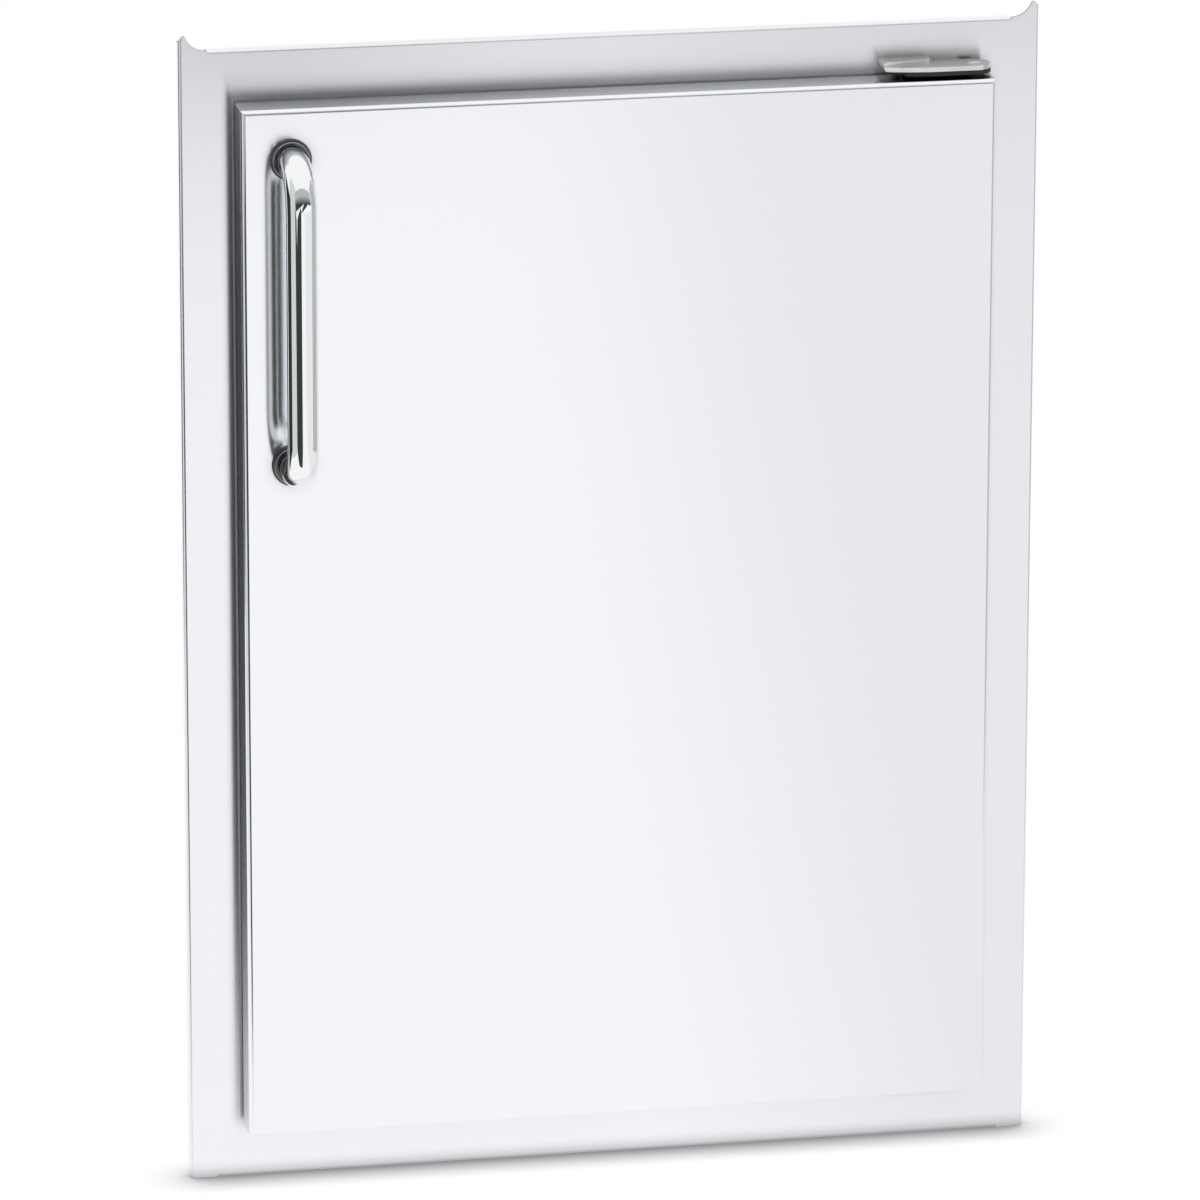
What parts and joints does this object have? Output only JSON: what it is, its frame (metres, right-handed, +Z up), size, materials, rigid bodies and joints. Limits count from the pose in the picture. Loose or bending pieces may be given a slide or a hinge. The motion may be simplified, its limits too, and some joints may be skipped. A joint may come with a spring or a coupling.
{
  "type": "access door",
  "caption": "Brushed stainless access door for a built-in outdoor kitchen: flanged frame with a sleeve behind, hollow door on pivot hinges, bright D-shaped pull handle.",
  "frame": {"origin": "centre of the wall cut-out, in the plane of the wall's face; the flange stands in front of it and the sleeve goes behind it", "axes": "+X right seen from the front, -Y towards the front, +Z up"},
  "size_m": [0.508, 0.1324, 0.695],
  "materials": {
    "flange_steel": "bright horizontal brushed stainless",
    "door_steel": "fine satin stainless",
    "liner_steel": "satin stainless",
    "sleeve_steel": "mill-finish stainless",
    "hinge_steel": "cut and tumbled stainless plate",
    "pin_steel": "turned stainless",
    "handle_chrome": "polished",
    "bezel_black": "moulded, semi-gloss",
    "black_nylon": "moulded nylon",
    "black_plastic": "moulded, fine texture",
    "bumper_rubber": "soft, matt",
    "magnet_ferrite": "sintered, dark grey",
    "zinc_plate": "zinc plated",
    "screw_steel": "stainless"
  },
  "bodies": {
    "frame": {"face_flange": "flange_steel", "left_jamb": "sleeve_steel", "right_jamb": "sleeve_steel", "head_jamb": "sleeve_steel", "sill_jamb": "sleeve_steel", "door_bumpers": "bumper_rubber", "upper_hinge_bracket": "hinge_steel", "lower_hinge_bracket": "hinge_steel", "upper_hinge_pad": "black_nylon", "lower_hinge_pad": "black_nylon", "upper_hinge_pin": "pin_steel", "lower_hinge_pin": "pin_steel", "upper_catch_housing": "black_plastic", "lower_catch_housing": "black_plastic", "catch_magnets": "magnet_ferrite", "catch_pole_plates": "zinc_plate", "catch_screws": "screw_steel"},
    "door": {"door_skin": "door_steel", "door_liner": "liner_steel", "door_stiffener": "liner_steel", "upper_hinge_doubler": "zinc_plate", "lower_hinge_doubler": "zinc_plate", "upper_hinge_bushing": "black_nylon", "lower_hinge_bushing": "black_nylon", "strike_plates": "zinc_plate", "strike_screws": "screw_steel", "handle_bar": "handle_chrome", "handle_end_plugs": "screw_steel", "upper_handle_bezel": "bezel_black", "lower_handle_bezel": "bezel_black", "handle_backing_plate": "zinc_plate", "handle_screws": "screw_steel", "handle_screw_washers": "screw_steel", "handle_access_plugs": "black_plastic"}
  },
  "joints": [
    {"name": "door_hinge", "type": "hinge", "parent": "frame", "child": "door", "pos_m": [0.21275, -0.0199, 0], "axis": [0, 0, 1], "range_deg": [0, 105]}
  ]
}
